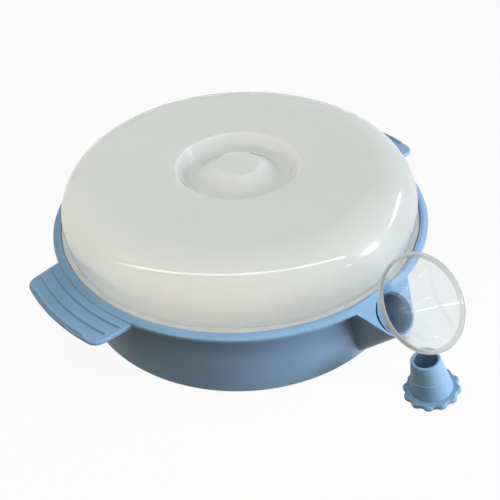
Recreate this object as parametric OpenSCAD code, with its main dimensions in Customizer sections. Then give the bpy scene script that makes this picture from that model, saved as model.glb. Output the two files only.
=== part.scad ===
// Round plate that keeps food warm over hot water held in its hollow body.
// It comes with a domed lid, a clear filling funnel and a stopper for the filler hole.
// Millimetres, +Z up, origin at the centre of the underside.
// The filler spout points along -Y and the handles lie along X.

/* [Rim] */
// Outer radius of the rim
rim_r = 112.5; // [106:0.5:122]
// Height of the raised bead above the table
rim_top = 54; // [50:0.5:60]
// Width of the raised bead that rings the lid
bead_w = 2.9; // [2.4:0.1:4]
// Width of the low lip outside the bead
lip_w = 1.9; // [1.6:0.1:3]
// Drop from the bead to the lip and the handles
rim_step = 1.4; // [1:0.1:1.8]
// Thickness of the low lip
lip_t = 1.8; // [1.5:0.1:2.4]
// Rounding of the rim's edges
rim_round = 0.6; // [0.3:0.1:0.7]

/* [Dish] */
// Wall of the dish
dish_wall = 2; // [1.6:0.1:3]
// Depth of the lid's seat below the bead
seat_depth = 1.9; // [1.7:0.1:2.6]
// Width of the lid's seat
seat_w = 8.5; // [6:0.5:11]
// Depth of the food well below the lid's seat
well_depth = 30; // [22:1:34]
// How much narrower the well is at its floor than at its seat
well_draft = 6; // [3:0.5:10]
// Rounding between the well's wall and floor
well_round = 14; // [8:1:20]

/* [Bowl] */
// How far the rim reaches past the bowl's wall
rim_overhang = 6.6; // [5.6:0.1:8]
// How much narrower the bowl is at its base than under the rim
bowl_flare = 4.2; // [2:0.2:8]
// Wall and floor of the bowl
bowl_wall = 2.2; // [1.8:0.1:3]
// Rounding of the bowl's bottom edge
bowl_round = 4; // [3:0.5:7]
// Depth of the skirt that centres the dish in the bowl
skirt_depth = 4; // [3:0.5:7]
// Clearance between the skirt and the bowl's wall
skirt_gap = 0.3; // [0.2:0.05:0.6]
// Gap left for the weld between dish and bowl
weld_gap = 0.05; // [0.02:0.01:0.2]

/* [Handles] */
// How far the handles reach past the rim
handle_reach = 19.7; // [15:0.1:28]
// Width of a handle where it leaves the rim
handle_root_w = 71; // [60:1:90]
// Width of a handle near its outer edge
handle_tip_w = 68; // [54:1:84]
// Rounding of a handle's outer corners
handle_corner = 7.5; // [4:0.5:12]
// Thickness of a handle where it leaves the rim
handle_t = 2.6; // [2.4:0.1:4]
// Thickness of a handle at its outer edge
handle_tip_t = 1.6; // [1.2:0.1:2.4]
// Distance from the rim's edge to the first grip rib
rib_inset = 4; // [3:0.1:6]
// Distance from one grip rib to the next
rib_pitch = 6.8; // [5:0.1:8]
// Width of a grip rib
rib_w = 1.6; // [1.2:0.1:2.2]
// Height of a grip rib above the handle
rib_h = 0.7; // [0.4:0.1:1.2]
// Angles that the grip ribs span, from the rim outwards
rib_spans = [32.4, 29, 21];

/* [Spout] */
// Tilt of the filler hole's axis above level
neck_tilt = 48.5; // [44:0.5:54]
// Distance of the hole's centre outside the rim
mouth_reach = 6.5; // [5.5:0.1:9]
// Drop of the hole's centre below the bead
mouth_drop = 9.65; // [8.5:0.05:11]
// Radius of the filler hole at its mouth
mouth_r = 11.45; // [10:0.05:13]
// Half angle of the hole's conical seat
seat_angle = 10; // [6:0.5:12]
// Width of the lip left round the hole
mouth_lip = 1.4; // [1.2:0.1:2]
// Thickness of the sloping deck round the hole
deck_t = 3; // [2.4:0.1:3.6]
// Width of the deck where it leaves the rim
deck_w = 42; // [36:1:50]
// Width of the spout's body where it meets the bowl under the rim
body_w = 38; // [32:1:44]
// Width of the spout's body at its foot
foot_w = 12; // [8:0.5:18]
// Height of the spout's foot above the table
foot_z = 3.6; // [3:0.1:8]
// How far the deck stands over the spout's body
deck_over = 0.3; // [0.1:0.05:0.5]
// Wall of the spout's body
spout_wall = 1.4; // [1.2:0.1:1.8]
// How far the spout's body ends below the bowl's top edge
spout_drop = 0.3; // [0.2:0.1:0.6]

/* [Lid] */
// Clearance between the lid's edge and the bead
lid_gap = 0.3; // [0.2:0.05:0.8]
// Gap left under the lid's flange
lid_rest = 0.1; // [0.05:0.05:0.4]
// Wall of the lid
lid_wall = 1.8; // [1.4:0.1:2.6]
// Thickness of the lid's flange
flange_t = 1.4; // [1.1:0.1:1.7]
// Width of the lid's flange
flange_w = 3; // [2.4:0.1:4]
// How far the lid's side swells out above its flange
lid_swell = 1; // [0.4:0.1:1.6]
// Height above the flange at which the side is fullest
swell_h = 5.5; // [4:0.5:7]
// Height of the crown's corner above the lid's seat
lid_h = 35.4; // [32:0.2:40]
// Radius of the lid's shoulder
shoulder_r = 24; // [18:1:26]
// Radius of the grip recess
recess_r = 36; // [33:0.5:44]
// Height of the recess's edge above the lid's seat
recess_h = 31.9; // [29:0.1:34]
// Radius of the moat's bottom
moat_r = 27; // [24:0.5:30]
// Depth of the moat below the recess's edge
moat_depth = 8; // [6:0.5:10]
// Radius of the knob's flat top
knob_r = 13; // [10:0.5:16]
// Rounding of the knob's and the recess's edges
grip_round = 2.5; // [1:0.5:3]
// Rounding of the moat's bottom
moat_round = 4; // [2:0.5:5]

/* [Funnel] */
// Clearance between the funnel's cone and the filler hole
funnel_gap = 0.35; // [0.3:0.05:0.6]
// Distance from the filler hole to the funnel's rim
funnel_reach = 25.1; // [20:0.5:32]
// Half angle of the funnel's cone
funnel_angle = 31; // [27:0.5:34]
// Wall of the funnel
funnel_wall = 1.2; // [1:0.1:1.6]
// Radius of the bead round the funnel's rim
funnel_bead = 1.1; // [0.9:0.1:1.5]
// Outer radius of the stem where it leaves the cone
stem_r = 5.6; // [5:0.1:6.4]
// Outer radius of the stem at its tip
stem_tip_r = 4.8; // [4.4:0.1:5]
// Length of the stem below the cone
stem_len = 12; // [8:0.5:14]

/* [Stopper] */
// Clearance between the stopper's cone and the filler hole
stopper_gap = 0.05; // [0.02:0.01:0.2]
// Height of the stopper's cone
cone_h = 20.7; // [16:0.1:24]
// Wall of the stopper's cone
cone_wall = 1.8; // [1.4:0.1:2.2]
// Radius of the flange to the tips of its lobes
lobe_tip_r = 15.4; // [14.6:0.1:18]
// Radius of one lobe
lobe_r = 3.2; // [2.6:0.1:3.6]
// Depth of the hollows between the lobes
lobe_depth = 1.2; // [0.8:0.1:1.6]
// Number of lobes
lobe_count = 12; // [10:1:14]
// Thickness of the stopper's flange
cap_t = 3; // [2.4:0.1:4]
// Radius of the moulding pip under the flange
pip_r = 2; // [1.5:0.1:3]
// Lean of the stopper as it lies on its pip and its flange's edge
stopper_lean = 15; // [8:0.5:18]
// Direction towards which it leans
stopper_turn = 119; // [0:1:360]
// Distance of the stopper to the side of the spout
stopper_x = 2.4; // [-10:0.1:10]
// Distance of the stopper in front of the filler hole
stopper_away = 27.9; // [24:0.1:60]

/* [Hidden] */
$fn = 96;
form_fn = 40;
arc_steps = 10;
past = 1;
blue = "#8aaccb";
milk = "#dfe2dc";
clear = [0.88, 0.9, 0.93, 0.35];

// Levels and radii of the rim and the lid's seat
seat_z = rim_top - seat_depth;
lip_z = rim_top - rim_step;
under_z = seat_z - dish_wall;
bead_r = rim_r - lip_w;
seat_r = bead_r - bead_w;

// Food well, whose wall leans in towards the floor
well_top_r = seat_r - seat_w;
well_slope = well_draft / well_depth;
well_z = seat_z - well_depth;
wall_across = dish_wall * sqrt(1 + well_slope * well_slope);
function well_r(z) = well_top_r - (seat_z - z) * well_slope;

// Bowl, whose wall ends under the rim
bowl_top_r = rim_r - rim_overhang;
bowl_top_z = under_z - weld_gap;
base_r = bowl_top_r - bowl_flare;

// Filler hole and the deck's plane, square to the hole's axis
mouth_out = rim_r + mouth_reach;
mouth_z = rim_top - mouth_drop;
ring_r = mouth_r + mouth_lip;
body_top = -deck_t - weld_gap;
deck_back = (bowl_top_z - spout_drop - mouth_z - body_top * sin(neck_tilt)) / cos(neck_tilt);
deck_into_rim = 0.8;
rib_first_r = rim_r + rib_inset;

// Top of a handle, which slopes down from the rim to its outer edge
function handle_z(r) = lip_z - (handle_t - handle_tip_t) * (r - rim_r) / handle_reach;

// Lid
lid_r = seat_r - lid_gap;
flange_z = seat_z + lid_rest;
lid_neck_r = lid_r - flange_w;
lid_side_r = lid_neck_r + lid_swell;
edge_z = seat_z + recess_h;

// Funnel, measured along the hole's axis from its mouth
funnel_slope = tan(funnel_angle);
cone_r0 = mouth_r - funnel_gap;
stem_z = (stem_r - cone_r0) / funnel_slope;

// Stopper, whose cone matches the hole's seat
cone_base_r = mouth_r - stopper_gap;
cone_tip_r = cone_base_r - cone_h * tan(seat_angle);
cone_round = cone_wall / 2.5;
pip_h = (lobe_tip_r - pip_r) * tan(stopper_lean);

// A path is a list of [x, y, rounding] corners
function flat(p) = [p.x, p.y];
function heading(a, b) = (b - a) / norm(b - a);
function side(v) = [-v.y, v.x];
function backwards(p) = [for (i = [len(p) - 1:-1:0]) p[i]];

// Points of an arc, without its last
function arc(c, r, from, to) = [for (i = [0:arc_steps - 1])
    let (t = from + (to - from) * i / arc_steps) c + r * [cos(t), sin(t)]];

// Arc of radius r that rounds the corner at b
function corner(a, b, c, r) =
    let (u = heading(a, b), v = heading(b, c))
    let (bend = atan2(u.x * v.y - u.y * v.x, u * v))
    let (centre = b - r * tan(abs(bend) / 2) * u + sign(bend) * r * side(u))
    r == 0 || bend == 0 ? [b] :
    [for (i = [0:arc_steps]) let (t = bend * i / arc_steps)
        centre - sign(bend) * r * (cos(t) * side(u) - sin(t) * u)];

// The path's points with each corner rounded
function rounded(p) = [for (i = [0:len(p) - 1]) each
    i == 0 || i == len(p) - 1 ? [flat(p[i])] :
    corner(flat(p[i - 1]), flat(p[i]), flat(p[i + 1]), p[i].z)];

// The path moved by d to its left, with its roundings kept concentric
function shifted(p, d) = [for (i = [0:len(p) - 1])
    let (u = heading(flat(p[max(i - 1, 0)]), flat(p[max(i, 1)])))
    let (v = heading(flat(p[min(i, len(p) - 2)]), flat(p[min(i + 1, len(p) - 1)])))
    let (m = flat(p[i]) + d * (side(u) + side(v)) / (1 + u * v))
    let (r = p[i].z - d * sign(u.x * v.y - u.y * v.x))
    [m.x, m.y, p[i].z == 0 ? 0 : max(r, 0.2)]];

// Wall of thickness t to the left of a path
module shell(p, t) polygon(concat(rounded(p), backwards(rounded(shifted(p, t)))));

// Puts children at the filler hole, with Z along its axis and Y up the deck's slope
module at_mouth() translate([0, -mouth_out, mouth_z]) rotate([90 - neck_tilt, 0, 0]) children();

// Deck's outline: a ring round the hole, with straight edges that run from it to the rim
module spout_outline(half_w, r, back) {
    corner_d = norm([half_w, back]);
    touch = atan2(back, half_w) - acos(r / corner_d);
    tip = r * [cos(touch), sin(touch)];
    circle(r);
    polygon([[half_w, back], tip, [-tip.x, tip.y], [-half_w, back]]);
}

// Wedge that tapers from the deck's outline to a foot low on the bowl's wall.
// Inset draws it in on all sides, and rise lifts its top through the deck's underside.
module spout_form(inset, rise, back_drop) {
    foot_r = foot_w / 2 - inset;
    back = deck_back - inset;
    hull() {
        at_mouth() translate([0, 0, body_top - past]) linear_extrude(past + rise) intersection() {
            spout_outline(body_w / 2 - inset, ring_r - deck_over - inset, back, $fn = form_fn);
            translate([-body_w, back - 2 * body_w]) square(2 * body_w);
        }
        translate([inset - body_w / 2, -(bowl_top_r - bowl_wall - past), bowl_top_z - back_drop - past])
            cube([body_w - 2 * inset, past, past]);
        translate([0, -(base_r - foot_r), foot_z + inset])
            cylinder(r = foot_r, h = past, $fn = form_fn);
    }
}

// Section of the bowl, drawn in by inset, up to a height
module bowl_section(inset, top) {
    run = (bowl_top_r - base_r) / bowl_top_z;
    polygon(rounded([
        [0, inset, 0],
        [base_r + run * inset - inset, inset, bowl_round - inset],
        [base_r + run * top - inset, top, 0],
        [0, top, 0]
    ]));
}

// Lower moulding: floor, flared wall and the spout's hollow body
module bowl() {
    color(blue) difference() {
        union() {
            rotate_extrude() bowl_section(0, bowl_top_z);
            spout_form(0, 0, spout_drop);
        }
        rotate_extrude() bowl_section(bowl_wall, bowl_top_z + past);
        spout_form(spout_wall, past, skirt_depth);
    }
}

// Section of the dish from the well's centre to the rim's edge and back underneath
module dish_section() {
    floor_z = well_z - dish_wall;
    lip_under = lip_z - lip_t;
    lip_root = bowl_top_r + (lip_under - under_z) + 2 * dish_wall / 3;
    polygon(rounded([
        [0, well_z, 0],
        [well_r(well_z), well_z, well_round],
        [well_top_r, seat_z, rim_round],
        [seat_r, seat_z, 0],
        [seat_r, rim_top, rim_round],
        [bead_r, rim_top, rim_round],
        [bead_r, lip_z, rim_round / 2],
        [rim_r, lip_z, rim_round],
        [rim_r, lip_under, rim_round],
        [lip_root, lip_under, 0],
        [lip_root - (lip_under - under_z), under_z, 0],
        [well_r(under_z) + wall_across, under_z, rim_round],
        [well_r(floor_z) + wall_across, floor_z, well_round + dish_wall],
        [0, floor_z, 0]
    ]));
    skirt_r = bowl_top_r - bowl_wall - skirt_gap - skirt_depth * bowl_flare / bowl_top_z;
    translate([skirt_r - dish_wall, under_z - skirt_depth]) square([dish_wall, skirt_depth + past / 2]);
}

// Outline of the handle on the +X side: corner arcs that run into an arc round the plate's axis
module handle_outline() {
    arc_r = rim_r + handle_reach;
    root = [sqrt(pow(bead_r - past, 2) - pow(handle_root_w / 2, 2)) - past, handle_root_w / 2];
    tip_x = arc_r - handle_corner;
    taper = atan((handle_root_w - handle_tip_w) / 2 / (tip_x - root.x));
    edge_d = root.x * sin(taper) + root.y * cos(taper) - handle_corner;
    along = sqrt(pow(arc_r - handle_corner, 2) - edge_d * edge_d);
    centre = [edge_d * sin(taper) + along * cos(taper), edge_d * cos(taper) - along * sin(taper)];
    turn = atan2(centre.y, centre.x);
    polygon(concat(
        [[root.x, -root.y]],
        arc([centre.x, -centre.y], handle_corner, taper - 90, -turn),
        arc([0, 0], arc_r, -turn, turn),
        arc(centre, handle_corner, turn, 90 - taper),
        [root]
    ));
}

// Outline of a grip rib: an arc round the plate's axis with round ends
module rib_outline(r, span) {
    half = span / 2;
    end = r * [cos(half), sin(half)];
    polygon(concat(
        arc([0, 0], r + rib_w / 2, -half, half),
        arc(end, rib_w / 2, half, half + 180),
        arc([0, 0], r - rib_w / 2, half, -half),
        arc([end.x, -end.y], rib_w / 2, 180 - half, 360 - half)
    ));
}

// Handle on the +X side
module handle() {
    outer_r = rim_r + handle_reach + past;
    difference() {
        translate([0, 0, lip_z - handle_t]) linear_extrude(handle_t) difference() {
            handle_outline();
            circle(bead_r - past);
        }
        rotate_extrude() polygon([
            [rim_r, lip_z], [outer_r, handle_z(outer_r)], [outer_r, lip_z + past], [rim_r, lip_z + past]
        ]);
    }
    for (i = [0:len(rib_spans) - 1]) let (r = rib_first_r + i * rib_pitch)
        translate([0, 0, handle_z(r) - rib_h]) linear_extrude(2 * rib_h) rib_outline(r, rib_spans[i]);
}

// Upper moulding: food well, rim with the lid's seat, handles and the spout's sloping deck
module dish() {
    color(blue) difference() {
        union() {
            rotate_extrude() dish_section();
            for (turn = [0, 180]) rotate(turn) handle();
            at_mouth() translate([0, 0, -deck_t]) linear_extrude(deck_t) {
                spout_outline(deck_w / 2, ring_r, deck_back);
                translate([-deck_w / 2, deck_back]) square([deck_w, deck_into_rim]);
            }
        }
        at_mouth() translate([-deck_w, -ring_r - past, 0])
            cube([2 * deck_w, ring_r + past + deck_back + 2 * rim_step, 2 * mouth_drop]);
        at_mouth() translate([0, 0, -deck_t - past])
            cylinder(r1 = mouth_r - (deck_t + past) * tan(seat_angle), r2 = mouth_r + past * tan(seat_angle),
                h = deck_t + 2 * past);
    }
}

// Domed lid with a knob in a ring-shaped moat to grip it by
module lid() {
    crown = [
        [0, edge_z, 0],
        [knob_r, edge_z, grip_round],
        [moat_r, edge_z - moat_depth, moat_round],
        [recess_r, edge_z, grip_round],
        [lid_side_r, seat_z + lid_h, shoulder_r],
        [lid_side_r, flange_z + swell_h, swell_h / 2],
        [lid_neck_r, flange_z + flange_t / 2, 0]
    ];
    color(milk) {
        rotate_extrude() shell(crown, -lid_wall);
        rotate_extrude() translate([lid_neck_r - lid_wall, flange_z]) square([flange_w + lid_wall, flange_t]);
    }
}

// Clear funnel that stands in the filler hole on its own cone
module funnel() {
    bead_z = funnel_reach - funnel_bead;
    cone = [
        [stem_tip_r, stem_z - stem_len, 0],
        [stem_r, stem_z, stem_r / 2],
        [cone_r0 + bead_z * funnel_slope, bead_z, 0]
    ];
    color(clear) at_mouth() rotate_extrude() {
        shell(cone, funnel_wall);
        translate([cone_r0 + bead_z * funnel_slope - funnel_wall / 2, bead_z]) circle(funnel_bead, $fn = form_fn);
    }
}

// Outline of the stopper's flange, scalloped for the fingers
module lobed_outline() {
    circle(lobe_tip_r - lobe_depth);
    for (i = [0:lobe_count - 1]) rotate(i * 360 / lobe_count)
        translate([lobe_tip_r - lobe_r, 0]) circle(lobe_r, $fn = form_fn);
}

// Hollow conical stopper, taken out and lying on its flange in front of the spout
module stopper() {
    lift = lobe_tip_r * sin(stopper_lean);
    top_z = cap_t + cone_h;
    inner_base_r = cone_base_r - cone_wall;
    inner_tip_r = cone_tip_r - cone_wall;
    color(blue) translate([stopper_x, -mouth_out - stopper_away, lift]) rotate([0, stopper_lean, stopper_turn]) {
        linear_extrude(cap_t) lobed_outline();
        translate([0, 0, -pip_h]) cylinder(r = pip_r, h = pip_h + cap_t / 2);
        rotate_extrude() polygon(rounded([
            [0, cap_t / 2, 0],
            [cone_base_r, cap_t / 2, 0],
            [cone_base_r, cap_t, 0],
            [cone_tip_r, top_z, cone_round],
            [inner_tip_r, top_z, cone_round],
            [inner_base_r, cap_t, cone_wall],
            [0, cap_t, 0]
        ]));
    }
}

bowl();
dish();
lid();
funnel();
stopper();
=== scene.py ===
import math

import bpy
from mathutils import Matrix, Vector


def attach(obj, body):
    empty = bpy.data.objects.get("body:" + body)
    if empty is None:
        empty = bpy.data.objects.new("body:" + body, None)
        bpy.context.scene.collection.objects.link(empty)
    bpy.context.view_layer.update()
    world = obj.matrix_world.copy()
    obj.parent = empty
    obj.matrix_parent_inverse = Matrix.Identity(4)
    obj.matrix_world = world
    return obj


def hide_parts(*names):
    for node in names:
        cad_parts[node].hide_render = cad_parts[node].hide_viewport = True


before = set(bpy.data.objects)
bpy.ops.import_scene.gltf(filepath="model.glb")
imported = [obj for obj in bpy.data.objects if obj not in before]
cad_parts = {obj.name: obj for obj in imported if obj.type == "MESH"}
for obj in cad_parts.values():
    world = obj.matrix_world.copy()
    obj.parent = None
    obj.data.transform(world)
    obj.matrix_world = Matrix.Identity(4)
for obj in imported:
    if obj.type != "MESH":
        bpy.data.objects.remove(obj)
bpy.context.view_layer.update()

MM = 0.001

# Sizes are in millimetres and angles in degrees, and the main ones are those of the solids.
# Rim: the lip, the bead on it and the lid's seat inside the bead
RIM_R, RIM_TOP, LIP_Z, LIP_UNDER = 112.5, 54.0, 52.6, 50.8
BEAD_R, SEAT_R, SEAT_Z = 110.6, 107.7, 52.1
# Dish: the food well, and below the rim a step and a skirt that are welded to the bowl
WELL_TOP_R, WELL_R, WELL_Z, WELL_ROUND = 99.2, 93.2, 22.1, 14.0
DISH_WALL, WELL_UNDER_R = 2.0, 94.84
STEP_OUT_R, STEP_IN_R, UNDER_Z, SKIRT_R, SKIRT_Z = 107.93, 107.23, 50.1, 103.06, 46.1
# Bowl: a flat floor and a flared wall
BOWL_TOP_R, BASE_R, BOWL_TOP_Z, BOWL_WALL, BOWL_ROUND = 105.9, 101.7, 50.05, 2.2, 4.0
# Handles: half width and thickness at the root and the tip, and how far their underside lies
# below the solid's, which leaves room for rounder edges
HANDLE_IN_R, HANDLE_IN_HALF, HANDLE_R = BEAD_R - 1, 18.5, 132.2
HANDLE_ROOT, HANDLE_TIP, HANDLE_CORNER = 35.5, 34.0, 7.5
HANDLE_T, HANDLE_TIP_T, HANDLE_LOWER, HANDLE_EDGE = 2.6, 1.6, 0.8, 1.0
# Ribs: each one's radius and half angle, and how far it starts below the handle's top
RIBS = ((116.5, 16.2), (123.3, 14.5), (130.1, 10.5))
RIB_W, RIB_H, RIB_SINK, RIB_ROUND = 2.1, 1.1, 0.7, 0.9
# Spout: the filler hole's place and tilt, the sloping deck round it and the hollow body below
MOUTH, NECK_TILT, MOUTH_R, SEAT_ANGLE = (0.0, -119.0, 44.35), 48.5, 11.45, 10.0
RING_R, DECK_T, DECK_SPARE, DECK_HALF, DECK_BACK = 12.85, 3.0, 1.5, 21.0, 11.6
HOLE_OVER, HOLE_DEPTH, DECK_EDGE = 2, 5, 0.4
BODY_HALF, BODY_RING, BODY_TOP, SPOUT_WALL = 19.0, 12.55, -3.05, 1.4
FOOT_R, FOOT_Z = 6.0, 3.6
# Lid: the shell, its flange, and in its crown a knob with a moat round it
LID_WALL, LID_R, LID_NECK_R, LID_SIDE_R = 1.8, 107.4, 104.4, 105.4
FLANGE_Z, FLANGE_TOP, NECK_H = 52.2, 53.6, 5.5
CROWN_Z, DOME_EDGE_Z, SHOULDER = 84.0, 87.5, 24.0
KNOB_R, MOAT_IN_R, MOAT_OUT_R, MOAT_EDGE_R, MOAT_Z = 13.0, 25.5, 31.0, 36.0, 76.0
# Funnel: heights are from the deck, along the hole's axis
CONE_SLOPE, CONE_FOOT_R, CONE_TOP = math.tan(math.radians(31.0)), 11.1, 24.0
STEM_R, STEM_TIP_R, STEM_LENGTH, FUNNEL_WALL, ROLL_R = 5.6, 4.8, 12.0, 1.2, 1.1
# Stopper: a lobed flange, a cone with a faint step and a hollow core, and a pip under it
STOPPER_AT, STOPPER_TURN = (2.4, -146.9, 3.986), (0.0, 15.0, 119.0)
LOBE_TIP_R, LOBE_R, LOBE_DEPTH, LOBES, CAP_T, CAP_EDGE = 15.4, 3.2, 1.2, 12, 3.0, 1.0
PLUG_ROOT_R, PLUG_TIP_R, PLUG_LOW, PLUG_TOP = 11.4, 7.75, 1.5, 23.7
CORE_TIP_R, CORE_R, CORE_Z = 5.95, 9.6, CAP_T + 0.02
PIP_R, PIP_Z, PIP_TOP = 2.0, -3.59, 1.4


def linear(colour):
    """Turns an sRGB hex value into linear red, green, blue and alpha."""
    parts = [int(colour[i:i + 2], 16) / 255 for i in (1, 3, 5)]
    return tuple(c / 12.92 if c <= 0.04045 else ((c + 0.055) / 1.055) ** 2.4
                 for c in parts) + (1.0,)


# Outlines in millimetres, where a corner is (x, y) or (x, y, rounding)

def arc(centre, radius, first, last, steps=12):
    """Points of an arc between two angles in degrees, with both ends."""
    turns = [math.radians(first + (last - first) * i / steps) for i in range(steps + 1)]
    return [(centre[0] + radius * math.cos(t), centre[1] + radius * math.sin(t)) for t in turns]


def rounded(corners):
    """Points along the corners, with an arc at each inner corner that has a rounding."""
    points = []
    for i, corner in enumerate(corners):
        here = Vector(corner[:2])
        radius = corner[2] if len(corner) > 2 else 0
        if radius == 0 or i in (0, len(corners) - 1):
            points.append(tuple(here))
            continue
        into = (here - Vector(corners[i - 1][:2])).normalized()
        out = (Vector(corners[i + 1][:2]) - here).normalized()
        bend = math.atan2(into.x * out.y - into.y * out.x, into.dot(out))
        side = Vector((-into.y, into.x)) * math.copysign(1, bend)
        centre = here - into * radius * math.tan(abs(bend) / 2) + side * radius
        steps = min(max(round(abs(bend) * radius / 0.5), 4), 24)
        for k in range(steps + 1):
            t = abs(bend) * k / steps
            points.append(tuple(centre - side * radius * math.cos(t)
                                + into * radius * math.sin(t)))
    return points


def moved_right(corners, wall):
    """The corners moved to the right of their path by a wall's thickness."""
    moved = []
    last = len(corners) - 1
    for i, (x, y, radius) in enumerate(corners):
        before, after = max(i, 1), min(i, last - 1)
        into = Vector(corners[before][:2]) - Vector(corners[before - 1][:2])
        out = Vector(corners[after + 1][:2]) - Vector(corners[after][:2])
        into.normalize()
        out.normalize()
        shift = Vector((into.y + out.y, -into.x - out.x)) * wall / (1 + into.dot(out))
        bend = math.copysign(1, into.x * out.y - into.y * out.x)
        moved.append((x + shift.x, y + shift.y, max(radius + wall * bend, 0.2) if radius else 0))
    return moved


# Modelling: a vertex is drawn along an outline, which is then spun or filled and raised

def draw(name, points):
    """Draws a wire from point to point and stays in edit mode."""
    bpy.ops.object.select_all(action="DESELECT")
    bpy.ops.mesh.primitive_plane_add(size=MM)
    piece = bpy.context.object
    piece.name = name
    bpy.ops.object.mode_set(mode="EDIT")
    bpy.ops.mesh.select_mode(type="VERT")
    bpy.ops.mesh.select_all(action="SELECT")
    bpy.ops.mesh.merge(type="CENTER")
    path = [Vector(p) * MM for p in points]
    bpy.ops.transform.translate(value=path[0])
    for start, end in zip(path, path[1:]):
        bpy.ops.mesh.extrude_vertices_move(TRANSFORM_OT_translate={"value": end - start})
    bpy.ops.mesh.select_all(action="SELECT")
    bpy.ops.mesh.remove_doubles(threshold=0.002 * MM)
    return piece


def close_up():
    """Merges doubles, turns the faces outwards and leaves edit mode."""
    bpy.ops.mesh.select_all(action="SELECT")
    bpy.ops.mesh.remove_doubles(threshold=0.002 * MM)
    bpy.ops.mesh.normals_make_consistent(inside=False)
    bpy.ops.object.mode_set(mode="OBJECT")


def turned(name, section, steps=192):
    """Spins a closed section of (radius, height) points about Z."""
    piece = draw(name, [(r, 0, z) for r, z in section])
    bpy.ops.mesh.select_all(action="SELECT")
    bpy.ops.mesh.spin(steps=steps, angle=2 * math.pi, center=(0, 0, 0), axis=(0, 0, 1))
    close_up()
    return piece


def pick_edges(piece, wanted):
    """Goes to edit mode with just the edges selected whose ends pass a test."""
    bpy.ops.object.mode_set(mode="EDIT")
    bpy.ops.mesh.select_mode(type="EDGE")
    bpy.ops.mesh.select_all(action="DESELECT")
    bpy.ops.object.mode_set(mode="OBJECT")
    for edge in piece.data.edges:
        edge.select = wanted(*(piece.data.vertices[v].co / MM for v in edge.vertices))
    bpy.ops.object.mode_set(mode="EDIT")


def raised(name, outline, low, high, edge=0.0, wanted=None):
    """Fills a closed outline, raises it to a plate and rounds the plate's edges."""
    piece = draw(name, [(x, y, low) for x, y in list(outline) + [outline[0]]])
    bpy.ops.mesh.select_all(action="SELECT")
    bpy.ops.mesh.edge_face_add()
    bpy.ops.mesh.extrude_region_move(TRANSFORM_OT_translate={"value": (0, 0, (high - low) * MM)})
    close_up()
    if edge:
        pick_edges(piece, wanted or (lambda a, b: abs(a.z - b.z) < 0.01))
        bpy.ops.mesh.bevel(offset=edge * MM, segments=4, affect="EDGES")
        close_up()
    return piece


def wrapped(name, points):
    """Stretches a skin over points, as a convex solid."""
    piece = draw(name, points)
    bpy.ops.mesh.select_all(action="SELECT")
    bpy.ops.mesh.convex_hull()
    close_up()
    return piece


def only(piece):
    """Leaves just this piece selected and active."""
    bpy.ops.object.select_all(action="DESELECT")
    piece.select_set(True)
    bpy.context.view_layer.objects.active = piece


def place(piece, at=(0, 0, 0), turn=(0, 0, 0)):
    """Puts a piece at its place and keeps that in its mesh."""
    piece.location = Vector(at) * MM
    piece.rotation_euler = [math.radians(a) for a in turn]
    only(piece)
    bpy.ops.object.transform_apply(location=True, rotation=True, scale=True)
    return piece


def at_mouth(piece):
    """Puts a piece at the filler hole, with Z along its axis and Y up the deck's slope."""
    return place(piece, MOUTH, (90 - NECK_TILT, 0, 0))


def combine(piece, tool, operation):
    """Adds a tool's solid to a piece, cuts it away, or keeps just what both share."""
    only(piece)
    change = piece.modifiers.new("shape", "BOOLEAN")
    change.operation, change.object, change.solver = operation, tool, "EXACT"
    bpy.ops.object.modifier_apply(modifier=change.name)
    bpy.data.objects.remove(tool)


def join(piece, *others):
    """Makes other pieces part of this one, each as its own closed shell."""
    only(piece)
    for other in others:
        other.select_set(True)
    bpy.ops.object.join()


def smooth(piece, angle=35):
    """Smooth shading that keeps hard edges hard and flats flat."""
    only(piece)
    split = piece.modifiers.new("split", "TRIANGULATE")
    split.min_vertices = 5
    bpy.ops.object.modifier_apply(modifier=split.name)
    bpy.ops.object.shade_smooth_by_angle(angle=math.radians(angle))
    flats = piece.modifiers.new("flats", "WEIGHTED_NORMAL")
    flats.keep_sharp = True
    bpy.ops.object.modifier_apply(modifier=flats.name)


# Spout, whose deck is part of the dish and whose body is part of the bowl

def spout_outline(half_w, ring, back):
    """Deck's outline: a ring round the hole with straight edges that run from it to the rim."""
    touch = math.degrees(math.atan2(back, half_w) - math.acos(ring / math.hypot(half_w, back)))
    round_front = arc((0, 0), ring, 180 - touch, 360 + touch, 48)
    return [(-half_w, back)] + round_front + [(half_w, back)]


def mouth_point(x, y, z):
    """A point given at the filler hole, in the plate's own frame."""
    turn = Matrix.Rotation(math.radians(90 - NECK_TILT), 3, "X")
    return turn @ Vector((x, y, z)) + Vector(MOUTH)


def on_deck_edge(*ends):
    """True where an edge's ends lie on the top of the deck, away from the rim."""
    turn = Matrix.Rotation(math.radians(NECK_TILT - 90), 3, "X")
    local = [turn @ (end - Vector(MOUTH)) for end in ends]
    rings = [math.hypot(p.x, p.y) for p in local]
    flat = all(abs(p.z) < 0.02 and p.y < DECK_BACK - 1 for p in local)
    return flat and (max(rings) < MOUTH_R + 0.1 or min(rings) > RING_R - 0.1)


def spout_form(name, inset, rise, back_drop):
    """The spout's body, or with an inset its channel: a skin from the deck's underside, over
    the bowl's wall, down to a round foot near the floor."""
    foot = FOOT_R - inset
    back = DECK_BACK - inset
    half = BODY_HALF - inset
    ring = spout_outline(half, BODY_RING - inset, back)
    points = [mouth_point(x, y, z) for z in (BODY_TOP - 1, BODY_TOP + rise)
              for x, y in ring if y <= back]
    wall_y, wall_z = -(BOWL_TOP_R - BOWL_WALL - 1), BOWL_TOP_Z - back_drop
    points += [(x, wall_y + y, wall_z - z) for x in (-half, half) for y in (0, 1) for z in (0, 1)]
    foot_ring = arc((0, foot - BASE_R), foot, 0, 360, 40)[1:]
    points += [(x, y, FOOT_Z + inset + z) for z in (0, 1) for x, y in foot_ring]
    return wrapped(name, points)


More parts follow.
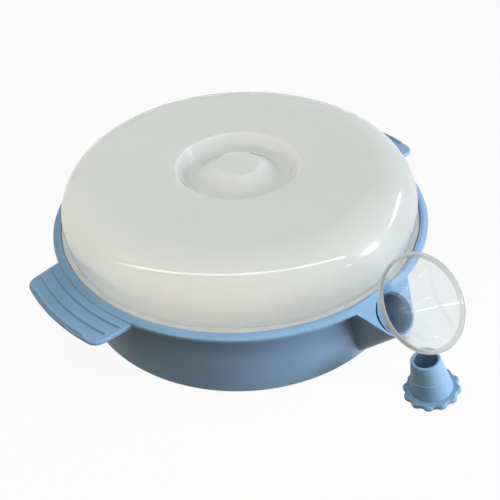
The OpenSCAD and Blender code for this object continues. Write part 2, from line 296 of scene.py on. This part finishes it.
# Lid: a thin shell with a stepped flange and a moat round its knob

def make_lid():
    crown = [(0, CROWN_Z, 0), (KNOB_R, CROWN_Z, 2.5), (MOAT_IN_R, MOAT_Z, 4.0),
             (MOAT_OUT_R, MOAT_Z, 4.5), (MOAT_EDGE_R, CROWN_Z, 1.5),
             (LID_SIDE_R, DOME_EDGE_Z, SHOULDER), (LID_SIDE_R, FLANGE_Z + NECK_H, 2.75),
             (LID_NECK_R, FLANGE_TOP, 0)]
    inside = rounded(moved_right(crown, LID_WALL))
    flange = rounded([(LID_NECK_R, FLANGE_TOP), (LID_R, FLANGE_TOP, 0.5), (LID_R, FLANGE_Z, 0.4),
                      (LID_NECK_R - LID_WALL, FLANGE_Z, 0.3), inside[-1]])
    lid = turned("lid_shell", rounded(crown) + flange[1:-1] + inside[::-1])
    smooth(lid, 40)
    return lid


# Dish: food well, rim with the lid's seat, two ribbed handles and the spout's sloping deck

def make_dish():
    # The bead runs down into the lip in one smooth band
    bead = [(SEAT_R, RIM_TOP, 0.7), (BEAD_R - 0.6, RIM_TOP, 2.0), (RIM_R, LIP_Z + 0.5, 0.8)]
    skirt_in = SKIRT_R - DISH_WALL
    section = rounded([
        (0, WELL_Z), (WELL_R, WELL_Z, WELL_ROUND), (WELL_TOP_R, SEAT_Z, 0.8), (SEAT_R, SEAT_Z, 0.3),
        *bead, (RIM_R, LIP_UNDER, 0.8), (STEP_OUT_R, LIP_UNDER), (STEP_IN_R, UNDER_Z),
        (SKIRT_R, UNDER_Z), (SKIRT_R, SKIRT_Z), (skirt_in, SKIRT_Z), (skirt_in, UNDER_Z),
        (WELL_UNDER_R, WELL_Z - DISH_WALL, WELL_ROUND + DISH_WALL), (0, WELL_Z - DISH_WALL)])
    dish = turned("dish_moulding", section)
    # The deck starts too thick and is then cut off level with the rim in one slope
    root = DECK_BACK + 0.8
    outline = [(-DECK_HALF, root), *spout_outline(DECK_HALF, RING_R, DECK_BACK), (DECK_HALF, root)]
    combine(dish, at_mouth(raised("deck", outline, -DECK_T, DECK_SPARE)), "UNION")
    only(dish)
    bpy.ops.object.mode_set(mode="EDIT")
    bpy.ops.mesh.select_all(action="SELECT")
    bpy.ops.mesh.bisect(plane_co=Vector(MOUTH) * MM, plane_no=mouth_point(0, 0, 1) - Vector(MOUTH),
                        use_fill=True, clear_outer=True)
    close_up()
    seat = math.tan(math.radians(SEAT_ANGLE))
    hole = turned("hole", [(0, HOLE_OVER), (MOUTH_R + HOLE_OVER * seat, HOLE_OVER),
                           (MOUTH_R - HOLE_DEPTH * seat, -HOLE_DEPTH), (0, -HOLE_DEPTH)], 96)
    combine(dish, at_mouth(hole), "DIFFERENCE")
    pick_edges(dish, on_deck_edge)
    bpy.ops.mesh.bevel(offset=DECK_EDGE * MM, segments=3, affect="EDGES")
    close_up()
    near = make_handle()
    only(near)
    bpy.ops.object.duplicate()
    far = place(bpy.context.object, turn=(0, 0, 180))
    join(dish, near, far)
    smooth(dish)
    return dish


def handle_top(radius):
    """Height of a handle's top: a hair above the lip that it runs into, then sloping down."""
    fall = (HANDLE_T - HANDLE_TIP_T) * (radius - RIM_R) / (HANDLE_R - RIM_R)
    return LIP_Z + 0.02 - fall


def handle_outline():
    """A handle from above: tapered sides, round corners and an edge round the plate's axis."""
    root_x = math.sqrt(HANDLE_IN_R ** 2 - HANDLE_ROOT ** 2) - 1
    taper = math.atan((HANDLE_ROOT - HANDLE_TIP) / (HANDLE_R - HANDLE_CORNER - root_x))
    edge = root_x * math.sin(taper) + HANDLE_ROOT * math.cos(taper) - HANDLE_CORNER
    along = math.sqrt((HANDLE_R - HANDLE_CORNER) ** 2 - edge ** 2)
    x = edge * math.sin(taper) + along * math.cos(taper)
    y = edge * math.cos(taper) - along * math.sin(taper)
    turn, lean = math.degrees(math.atan2(y, x)), math.degrees(taper)
    return ([(root_x, -HANDLE_ROOT)] + arc((x, -y), HANDLE_CORNER, lean - 90, -turn)
            + arc((0, 0), HANDLE_R, -turn, turn, 24)[1:-1]
            + arc((x, y), HANDLE_CORNER, turn, 90 - lean) + [(root_x, HANDLE_ROOT)]
            + arc((0, 0), HANDLE_IN_R, HANDLE_IN_HALF, -HANDLE_IN_HALF, 16))


def make_handle():
    under = LIP_Z - HANDLE_T
    handle = raised("handle", handle_outline(), under - HANDLE_LOWER, LIP_Z + 1)
    # A turned wedge gives the plate the slope of its top
    low, inner, outer = under - 2, BEAD_R - 3, HANDLE_R + 2
    wedge = [(inner, low), (outer, low), (outer, handle_top(outer)),
             (RIM_R, handle_top(RIM_R)), (inner, handle_top(RIM_R)), (inner, low)]
    combine(handle, turned("wedge", wedge), "INTERSECT")
    bpy.ops.object.mode_set(mode="EDIT")
    bpy.ops.mesh.select_mode(type="EDGE")
    bpy.ops.mesh.select_all(action="DESELECT")
    bpy.ops.mesh.edges_select_sharp(sharpness=math.radians(50))
    bpy.ops.mesh.bevel(offset=HANDLE_EDGE * MM, segments=5, affect="EDGES")
    close_up()
    half_w = RIB_W / 2
    for radius, half in RIBS:
        end_x, end_y = radius * math.cos(math.radians(half)), radius * math.sin(math.radians(half))
        top = handle_top(radius)
        outline = (arc((0, 0), radius + half_w, -half, half, 20)
                   + arc((end_x, end_y), half_w, half, half + 180, 8)[1:-1]
                   + arc((0, 0), radius - half_w, half, -half, 20)
                   + arc((end_x, -end_y), half_w, 180 - half, 360 - half, 8)[1:-1])
        join(handle, raised("rib", outline, top - RIB_SINK, top + RIB_H, RIB_ROUND,
                            lambda a, b: min(a.z, b.z) > top))
    return handle


# Bowl: floor, flared wall and the spout's hollow body

def bowl_section(inset, top):
    run = (BOWL_TOP_R - BASE_R) / BOWL_TOP_Z
    return rounded([(0, inset), (BASE_R + run * inset - inset, inset, BOWL_ROUND - inset),
                    (BASE_R + run * top - inset, top), (0, top)])


def make_bowl():
    bowl = turned("bowl_moulding", bowl_section(0, BOWL_TOP_Z))
    combine(bowl, spout_form("spout", 0, 0, 0.3), "UNION")
    combine(bowl, turned("hollow", bowl_section(BOWL_WALL, BOWL_TOP_Z + 1)), "DIFFERENCE")
    combine(bowl, spout_form("channel", SPOUT_WALL, 1, 4), "DIFFERENCE")
    smooth(bowl)
    return bowl


# Funnel: a clear cone with a rolled rim and a short stem

def make_funnel():
    stem_z = (STEM_R - CONE_FOOT_R) / CONE_SLOPE
    rim_r = CONE_FOOT_R + CONE_TOP * CONE_SLOPE
    cone = [(STEM_TIP_R, stem_z - STEM_LENGTH, 0), (STEM_R, stem_z, 2.8), (rim_r, CONE_TOP, 0)]
    inner = rounded(moved_right(cone, -FUNNEL_WALL))
    # The roll starts on the cone's outer face and ends on its inner one
    roll = arc((rim_r - FUNNEL_WALL / 2, CONE_TOP), ROLL_R, -93.1, 200.4, 20)
    section = rounded(cone)[:-1] + roll + inner[-2::-1] + [cone[0][:2]]
    funnel = turned("funnel_cone", section, 128)
    smooth(at_mouth(funnel), 50)
    return funnel


# Stopper: a lobed flange with a hollow cone that fits the filler hole

def lobed_outline():
    """The flange from above: round lobes on a circle, with short arcs between them."""
    base, lobe = LOBE_TIP_R - LOBE_DEPTH, LOBE_TIP_R - LOBE_R
    cross = math.acos((base ** 2 + lobe ** 2 - LOBE_R ** 2) / (2 * base * lobe))
    reach = math.degrees(cross)
    swing = math.degrees(math.atan2(base * math.sin(math.radians(reach)),
                                    base * math.cos(math.radians(reach)) - lobe))
    pitch = 360 / LOBES
    outline = []
    for i in range(LOBES):
        at, t = i * pitch, math.radians(i * pitch)
        centre = (lobe * math.cos(t), lobe * math.sin(t))
        outline += arc(centre, LOBE_R, at - swing, at + swing, 10)
        outline += arc((0, 0), base, at + reach, (i + 1) * pitch - reach, 4)[1:-1]
    return outline


def make_stopper():
    stopper = raised("stopper_moulding", lobed_outline(), 0, CAP_T, CAP_EDGE)
    step = [(9.82, 12.4, 0.3), (9.5, 12.9, 0.3)]
    plug = rounded([(0, PLUG_LOW), (PLUG_ROOT_R, PLUG_LOW), (PLUG_ROOT_R, CAP_T), *step,
                    (PLUG_TIP_R, PLUG_TOP, 0.85), (CORE_TIP_R, PLUG_TOP, 0.85),
                    (CORE_R, CORE_Z, 1.8), (0, CORE_Z)])
    pip = rounded([(0, PIP_Z), (PIP_R, PIP_Z, 0.5), (PIP_R, PIP_TOP), (0, PIP_TOP)])
    combine(stopper, turned("cone", plug + plug[:1], 96), "UNION")
    combine(stopper, turned("pip", pip + pip[:1], 32), "UNION")
    smooth(place(stopper, STOPPER_AT, STOPPER_TURN))
    return stopper


# Materials

def add_node(tree, kind, settings=None, links=None):
    """Adds a node, sets its properties and sockets, and links its sockets to others."""
    node = tree.nodes.new(kind)
    for key, value in (settings or {}).items():
        if isinstance(key, int) or key in node.inputs:
            node.inputs[key].default_value = value
        else:
            setattr(node, key, value)
    for key, source in (links or {}).items():
        tree.links.new(source, node.inputs[key])
    return node


def new_material(name):
    material = bpy.data.materials.new(name)
    material.use_nodes = True
    material.node_tree.nodes.clear()
    return material, material.node_tree


def let_lamps_through(tree, shader, tint):
    """Ends a material whose wall is a tinted film to the lamps' light."""
    film = add_node(tree, "ShaderNodeBsdfTransparent", {"Color": linear(tint)})
    shadow = add_node(tree, "ShaderNodeLightPath").outputs["Is Shadow Ray"]
    wall = add_node(tree, "ShaderNodeMixShader",
                    links={0: shadow, 1: shader.outputs["BSDF"], 2: film.outputs["BSDF"]})
    add_node(tree, "ShaderNodeOutputMaterial", links={"Surface": wall.outputs["Shader"]})


def moulded_polypropylene(name, pale, deep, rough):
    """Pigmented polypropylene from a fine spark-eroded mould: an even colour with faint flow
    marks, a soft sheen and a grain that just breaks up the highlights."""
    material, tree = new_material(name)
    place_on = add_node(tree, "ShaderNodeTexCoord").outputs["Object"]
    # Flow marks about 30 mm wide
    flow = add_node(tree, "ShaderNodeTexNoise",
                    {"Scale": 1 / 0.030, "Detail": 3.0, "Roughness": 0.55}, {"Vector": place_on})
    tint = add_node(tree, "ShaderNodeValToRGB", links={"Fac": flow.outputs["Fac"]})
    low, high = tint.color_ramp.elements
    low.position, low.color = 0.35, linear(deep)
    high.position, high.color = 0.65, linear(pale)
    # The mould's grain is about 0.1 mm and is drawn at 0.9 mm, so that it shows
    grain = add_node(tree, "ShaderNodeTexNoise", {"Scale": 1 / 0.0009, "Detail": 2.0},
                     {"Vector": place_on})
    gloss = add_node(tree, "ShaderNodeMapRange", {"To Min": rough - 0.06, "To Max": rough + 0.06},
                     {"Value": flow.outputs["Fac"]})
    bump = add_node(tree, "ShaderNodeBump", {"Strength": 0.12, "Distance": 0.00006},
                    {"Height": grain.outputs["Fac"]})
    shader = add_node(tree, "ShaderNodeBsdfPrincipled", {"IOR": 1.49, "Specular IOR Level": 0.16},
                      {"Base Color": tint.outputs["Color"], "Roughness": gloss.outputs["Result"],
                       "Normal": bump.outputs["Normal"]})
    add_node(tree, "ShaderNodeOutputMaterial", links={"Surface": shader.outputs["BSDF"]})
    return material


def milky_polypropylene(name, pale, deep, rough):
    """Natural polypropylene with a little white: light sinks into the wall and comes back soft,
    and the polished mould leaves crisp, narrow highlights."""
    material, tree = new_material(name)
    place_on = add_node(tree, "ShaderNodeTexCoord").outputs["Object"]
    # Faint clouding about 45 mm wide
    cloud = add_node(tree, "ShaderNodeTexNoise",
                     {"Scale": 1 / 0.045, "Detail": 3.0, "Roughness": 0.6}, {"Vector": place_on})
    tint = add_node(tree, "ShaderNodeValToRGB", links={"Fac": cloud.outputs["Fac"]})
    low, high = tint.color_ramp.elements
    low.position, low.color = 0.3, linear(deep)
    high.position, high.color = 0.7, linear(pale)
    # Washing has dulled it in patches about 12 mm wide
    wear = add_node(tree, "ShaderNodeTexNoise",
                    {"Scale": 1 / 0.012, "Detail": 4.0, "Roughness": 0.65}, {"Vector": place_on})
    gloss = add_node(tree, "ShaderNodeMapRange", {"To Min": rough - 0.01, "To Max": rough + 0.02},
                     {"Value": wear.outputs["Fac"]})
    # Slow unevenness of the wall, about 18 mm wide
    swell = add_node(tree, "ShaderNodeTexNoise", {"Scale": 1 / 0.018, "Detail": 1.0},
                     {"Vector": place_on})
    bump = add_node(tree, "ShaderNodeBump", {"Strength": 0.05, "Distance": 0.0002},
                    {"Height": swell.outputs["Fac"]})
    shader = add_node(tree, "ShaderNodeBsdfPrincipled",
                      {"IOR": 1.49, "Subsurface Weight": 1.0, "Subsurface Radius": (1.0, 1.0, 0.9),
                       "Subsurface Scale": 0.008},
                      {"Base Color": tint.outputs["Color"], "Roughness": gloss.outputs["Result"],
                       "Normal": bump.outputs["Normal"]})
    # About half of the light goes through the wall and lights it from inside
    let_lamps_through(tree, shader, "#DBDBD9")
    return material


def clear_polystyrene(name, tint, rough):
    """Clear polystyrene in a thin wall: it hardly bends what is seen through it, a gloss lies on
    both its faces, and the thicker roll at its rim is hazy and catches the light."""
    material, tree = new_material(name)
    place_on = add_node(tree, "ShaderNodeTexCoord").outputs["Object"]
    # Draw marks and scuffs about 4 mm wide
    marks = add_node(tree, "ShaderNodeTexNoise", {"Scale": 1 / 0.004, "Detail": 3.0},
                     {"Vector": place_on})
    gloss = add_node(tree, "ShaderNodeMapRange", {"To Min": rough, "To Max": rough + 0.03},
                     {"Value": marks.outputs["Fac"]})
    bump = add_node(tree, "ShaderNodeBump", {"Strength": 0.08, "Distance": 0.0001},
                    {"Height": marks.outputs["Fac"]})
    # The roll starts about 23 mm up the cone, along the filler hole's axis
    upright = add_node(tree, "ShaderNodeMapping",
                       {"vector_type": "TEXTURE", "Location": Vector(MOUTH) * MM,
                        "Rotation": (math.radians(90 - NECK_TILT), 0, 0)}, {"Vector": place_on})
    height = add_node(tree, "ShaderNodeSeparateXYZ", links={"Vector": upright.outputs["Vector"]})
    clarity = add_node(tree, "ShaderNodeMapRange",
                       {"From Min": 0.0226, "From Max": 0.0232, "To Min": 0.98, "To Max": 0.4},
                       {"Value": height.outputs["Z"]})
    shader = add_node(tree, "ShaderNodeBsdfPrincipled",
                      {"Base Color": linear(tint), "IOR": 1.06, "Coat Weight": 1.0,
                       "Coat IOR": 1.59, "Coat Roughness": 0.03},
                      {"Roughness": gloss.outputs["Result"], "Normal": bump.outputs["Normal"],
                       "Transmission Weight": clarity.outputs["Result"]})
    # Lamps shine straight through the thin wall, so it throws no dark shadow
    let_lamps_through(tree, shader, "#EEF2F4")
    return material


# Stage: a pale floor, a white surround, soft lamps and the camera

def in_view(tree):
    """1 for what is seen straight on, in a reflection or through a clear piece, and else 0."""
    path = add_node(tree, "ShaderNodeLightPath").outputs
    seen = path["Is Camera Ray"]
    for ray in ("Is Glossy Ray", "Is Transmission Ray"):
        seen = add_node(tree, "ShaderNodeMath", {"operation": "MAXIMUM"},
                        {0: seen, 1: path[ray]}).outputs[0]
    return seen


def pale_floor(name):
    """White paper that reads as the background and keeps a soft shadow. The light that it
    throws back at the pieces is dim and warm."""
    material, tree = new_material(name)
    seen = in_view(tree)
    bounce = add_node(tree, "ShaderNodeBsdfDiffuse", {"Color": linear("#80664E")})
    paper = add_node(tree, "ShaderNodeBsdfDiffuse", {"Color": linear("#F2F2F0")})
    white = add_node(tree, "ShaderNodeEmission", {"Color": (1, 1, 1, 1), "Strength": 1.0})
    lit = add_node(tree, "ShaderNodeMixShader", {0: 0.93},
                   {1: paper.outputs[0], 2: white.outputs[0]})
    blend = add_node(tree, "ShaderNodeMixShader",
                     links={0: seen, 1: bounce.outputs[0], 2: lit.outputs[0]})
    add_node(tree, "ShaderNodeOutputMaterial", links={"Surface": blend.outputs[0]})
    return material


def make_floor():
    bpy.ops.object.select_all(action="DESELECT")
    bpy.ops.mesh.primitive_circle_add(vertices=128, radius=6.0, fill_type="NGON",
                                      location=(0, 0, 0))
    floor = bpy.context.object
    floor.name = "floor"
    floor.data.materials.append(pale_floor("white paper sweep"))


def make_world():
    """White where it is seen, and a warm room that is brightest on the viewer's side."""
    world = bpy.data.worlds.new("studio")
    bpy.context.scene.world = world
    world.use_nodes = True
    tree = world.node_tree
    tree.nodes.clear()
    seen = in_view(tree)
    towards = add_node(tree, "ShaderNodeTexCoord").outputs["Generated"]
    facing = add_node(tree, "ShaderNodeVectorMath",
                      {"operation": "DOT_PRODUCT", 1: (-0.559, -0.659, 0.503)}, {0: towards})
    level = add_node(tree, "ShaderNodeMapRange",
                     {"From Min": 0.0, "From Max": 1.0, "To Min": 0.02, "To Max": 0.1},
                     {"Value": facing.outputs["Value"]})
    room = add_node(tree, "ShaderNodeBackground", {"Color": linear("#FFD8B0")},
                    {"Strength": level.outputs["Result"]})
    white = add_node(tree, "ShaderNodeBackground", {"Color": (1, 1, 1, 1), "Strength": 1.0})
    blend = add_node(tree, "ShaderNodeMixShader",
                     links={0: seen, 1: room.outputs[0], 2: white.outputs[0]})
    add_node(tree, "ShaderNodeOutputWorld", links={"Surface": blend.outputs[0]})


def add_lamp(name, at, aim, width, height, energy, colour, along=None, shine=True, lights=None):
    """A rectangular softbox that points at a spot, with its width level or along a direction.
    One without shine lights the piece and leaves no mirror image on it, and one that lights
    a collection is kept off all else, as by a flag."""
    lamp = bpy.data.lights.new(name, "AREA")
    lamp.shape, lamp.size, lamp.size_y = "RECTANGLE", width, height
    lamp.energy, lamp.color = energy, linear(colour)[:3]
    back = (Vector(at) - Vector(aim)).normalized()
    level = Vector(along) if along else Vector((0, 0, 1)).cross(back)
    wide = (level - back * level.dot(back)).normalized()
    holder = bpy.data.objects.new(name, lamp)
    bpy.context.collection.objects.link(holder)
    holder.visible_glossy = shine
    holder.light_linking.receiver_collection = lights
    turn = Matrix((wide, back.cross(wide), back)).transposed().to_4x4()
    holder.matrix_world = Matrix.Translation(at) @ turn


def make_lamps(lid_alone, blue_alone):
    """Places and sizes are in metres and energies in watts."""
    add_lamp("top_box", (-0.35, -0.3, 1.5), (0, 0, 0.05), 2.2, 2.2, 12.0, "#F4FFF6", shine=False)
    for name, at, width, height, energy, colour, lights in (
            ("near_top", (0.7, -0.5, 1.0), 0.6, 0.6, 4.4, "#E6ECFF", blue_alone),
            ("near_front", (0.49, -0.88, 0.25), 0.5, 0.3, 16.0, "#FFF4FF", blue_alone),
            ("far_box", (0.1, 1.6, 0.25), 1.6, 0.4, 5.0, "#E8F1FF", blue_alone),
            ("lid_top", (-0.2, -0.2, 1.4), 2.0, 2.0, 4.4, "#FBFAFC", lid_alone),
            ("lid_left", (-1.5, -0.3, 0.35), 1.2, 0.6, 9.6, "#FFF4E9", lid_alone),
            ("lid_front", (-0.6, -1.45, 0.25), 1.4, 0.5, 7.0, "#EFF4FC", lid_alone),
            ("lid_right", (1.3, -0.9, 0.3), 1.2, 0.5, 17.0, "#E2F1FF", lid_alone),
            ("lid_back", (0.4, 1.4, 0.5), 1.4, 0.6, 8.4, "#F2F9FF", lid_alone)):
        add_lamp(name, at, (0, 0, 0.06), width, height, energy, colour, shine=False, lights=lights)
    # The ones below leave the highlights: a long line on the shoulder, and patches at the right
    add_lamp("tube", (-0.994, 0.057, 1.2), (-0.594, 0.517, 0.08), 4.86, 0.09, 10.8, "#FFFDF8",
             along=(0.755, -0.656, 0))
    for name, at, width, height, energy, along in (
            ("window", (0.908, -1.182, 0.485), 0.36, 0.31, 2.6, None),
            ("window_strip", (0.666, -1.380, 0.361), 0.42, 0.06, 1.0, (-0.211, -0.076, 0.172)),
            ("side_window", (1.344, -0.485, 0.534), 0.66, 0.15, 1.6, None)):
        add_lamp(name, at, (0, -0.1, 0.08), width, height, energy, "#E6F0FF", along,
                 lights=lid_alone)


def make_camera():
    """A viewpoint in millimetres that was fitted to the rim and the lid."""
    eye = Vector((-232.087, -272.435, 308.339)) * MM
    target = Vector((3.630, -3.178, 18.686)) * MM
    forward = (target - eye).normalized()
    right = forward.cross(Vector((0, 0, 1))).normalized()
    up = right.cross(forward)
    roll = math.radians(-2.844)
    right, up = (right * math.cos(roll) + up * math.sin(roll),
                 up * math.cos(roll) - right * math.sin(roll))
    data = bpy.data.cameras.new("camera")
    data.lens, data.sensor_width, data.sensor_fit = 51.71, 36.0, "HORIZONTAL"
    camera = bpy.data.objects.new("camera", data)
    bpy.context.collection.objects.link(camera)
    turn = Matrix((right, up, -forward)).transposed().to_4x4()
    camera.matrix_world = Matrix.Translation(eye) @ turn
    bpy.context.scene.camera = camera


make_camera()
make_floor()
make_world()
lid_alone = bpy.data.collections.new("lid_alone")
blue_alone = bpy.data.collections.new("blue_alone")
make_lamps(lid_alone, blue_alone)
bpy.context.scene.view_settings.view_transform = "Standard"

blue = moulded_polypropylene("moulded blue polypropylene", "#7697B2", "#6F90AB", 0.40)
milky = milky_polypropylene("milky polypropylene", "#C5C6C1", "#C1C2BE", 0.04)
clear = clear_polystyrene("clear polystyrene", "#ECF0F1", 0.01)

for piece, node, body, slot, material in (
        (make_bowl(), "bowl", "plate", "blue_plastic", blue),
        (make_dish(), "dish", "plate", "blue_plastic", blue),
        (make_lid(), "lid", "lid", "milky_plastic", milky),
        (make_funnel(), "funnel", "funnel", "clear_plastic", clear),
        (make_stopper(), "stopper", "stopper", "blue_plastic", blue)):
    piece.data.materials.clear()
    piece.data.materials.append(material)
    if material is not clear:
        (lid_alone if material is milky else blue_alone).objects.link(piece)
    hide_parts(node)
    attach(piece, body)
